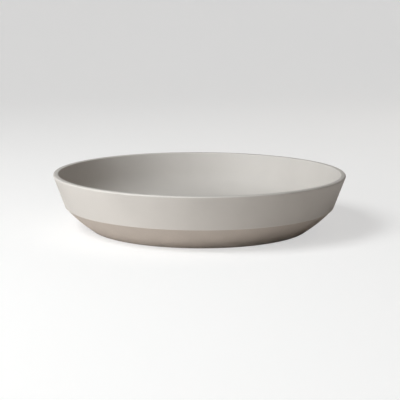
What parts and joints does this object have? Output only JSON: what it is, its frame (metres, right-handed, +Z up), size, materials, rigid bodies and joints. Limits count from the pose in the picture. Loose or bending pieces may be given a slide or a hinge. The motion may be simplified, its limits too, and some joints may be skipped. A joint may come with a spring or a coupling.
{
  "type": "round deep dish",
  "caption": "Round deep dish with straight flared walls, a flat lip and a lower wall folded in to a low foot ring. Matte glaze inside and above the fold, bare clay below.",
  "frame": {"origin": "centre of the foot ring's flat face, which is what the dish stands on", "axes": "+Z up along the axis of revolution, out of the open top; X and Y are any two level directions at right angles, because the dish is round"},
  "size_m": [0.24, 0.24, 0.045],
  "materials": {
    "bare_clay": "unglazed fired stoneware, dry and matte, warm grey, fine even grain",
    "matte_glaze": "matte stone-grey glaze, smooth to the touch, no gloss and no pattern"
  },
  "bodies": {
    "root": {"clay_body": "bare_clay", "glaze_coat": "matte_glaze"}
  },
  "joints": []
}
